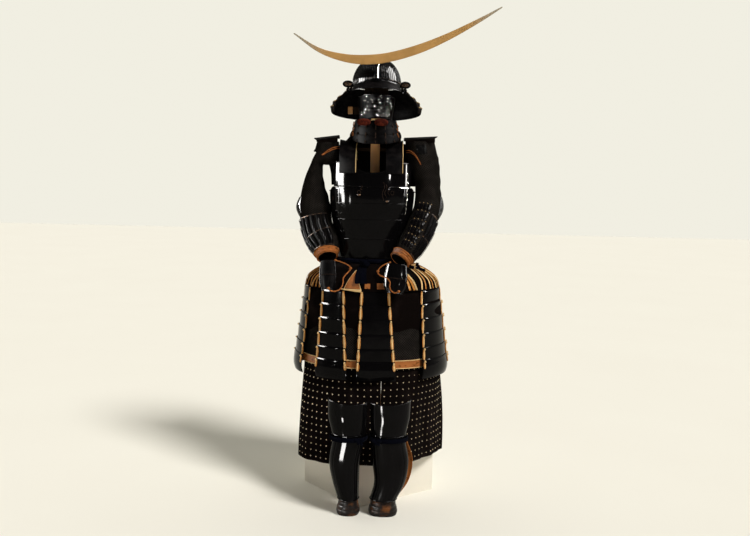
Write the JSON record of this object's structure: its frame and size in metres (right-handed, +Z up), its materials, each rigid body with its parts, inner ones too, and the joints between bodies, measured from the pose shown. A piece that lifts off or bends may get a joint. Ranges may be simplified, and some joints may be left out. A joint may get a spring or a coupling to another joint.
{
  "type": "samurai armour on box stand",
  "caption": "Black lacquered samurai armour with crescent-crested helmet, mask, plate cuirass, laced skirt, mailed sleeves, studded thigh guard and shin guards, on a post stand over a box.",
  "frame": {"origin": "on the floor under the middle of the box, at the middle of the box's underside", "axes": "+Z up, the armour's front faces -Y, and the wearer's left side lies towards +X"},
  "size_m": [0.7361, 0.606, 1.7927],
  "materials": {
    "black_lacquer": "gloss lacquer",
    "gilt": "matte gilding",
    "navy_cloth": "matte woven",
    "studded_cloth": "matte woven with small studs",
    "mail_cloth": "dark cloth faced with fine iron mail",
    "leather": "smooth, worn",
    "lacing": "flat braid",
    "cord": "round braid",
    "wood": "oiled",
    "painted_box": "matte paint"
  },
  "bodies": {
    "armour": {"stand_box": "painted_box", "stand_frame": "wood", "helmet_bowl": "black_lacquer", "helmet_visor": "black_lacquer", "neck_guard": "black_lacquer", "turn_back_right": "black_lacquer", "turn_back_left": "black_lacquer", "crest_prong": "black_lacquer", "face_mask": "black_lacquer", "throat_guard": "black_lacquer", "front_plate": "black_lacquer", "chest_plate": "black_lacquer", "left_side_plate": "black_lacquer", "right_side_front_plate": "black_lacquer", "right_side_back_plate": "black_lacquer", "back_plate": "black_lacquer", "shoulder_strap_right": "black_lacquer", "shoulder_strap_left": "black_lacquer", "shoulder_wing_right": "black_lacquer", "shoulder_wing_left": "black_lacquer", "neck_collar": "navy_cloth", "waist_sash": "navy_cloth", "sash_knot": "navy_cloth", "skirt_hanger": "lacing", "skirt_section_front": "black_lacquer", "skirt_section_front_right": "black_lacquer", "skirt_section_right": "black_lacquer", "skirt_section_front_left": "black_lacquer", "skirt_section_left": "black_lacquer", "skirt_section_back_left": "black_lacquer", "skirt_section_back_right": "black_lacquer", "skirt_section_side_right": "black_lacquer", "mail_skirt": "mail_cloth", "mail_skirt_hem": "leather", "thigh_guard_waistband": "studded_cloth", "thigh_guard_right": "studded_cloth", "thigh_guard_left": "studded_cloth", "sleeve_right": "mail_cloth", "elbow_plate_right": "black_lacquer", "forearm_guard_right": "black_lacquer", "wrist_band_right": "leather", "sleeve_left": "mail_cloth", "elbow_plate_left": "black_lacquer", "forearm_guard_left": "black_lacquer", "wrist_band_left": "leather", "hand_guard_right": "black_lacquer", "hand_guard_left": "black_lacquer", "hand_cord_right": "cord", "hand_cord_left": "cord", "knee_plate_right": "black_lacquer", "shin_plate_right": "black_lacquer", "calf_backing_right": "leather", "shin_tie_right": "navy_cloth", "foot_guard_right": "leather", "knee_plate_left": "black_lacquer", "shin_plate_left": "black_lacquer", "calf_backing_left": "leather", "shin_tie_left": "navy_cloth", "foot_guard_left": "leather"},
    "crest": {"crescent_crest": "gilt"}
  },
  "joints": [
    {"name": "crest_lift", "type": "slide", "parent": "armour", "child": "crest", "axis": [0, 0, 1], "range_m": [0, 0.06]}
  ]
}
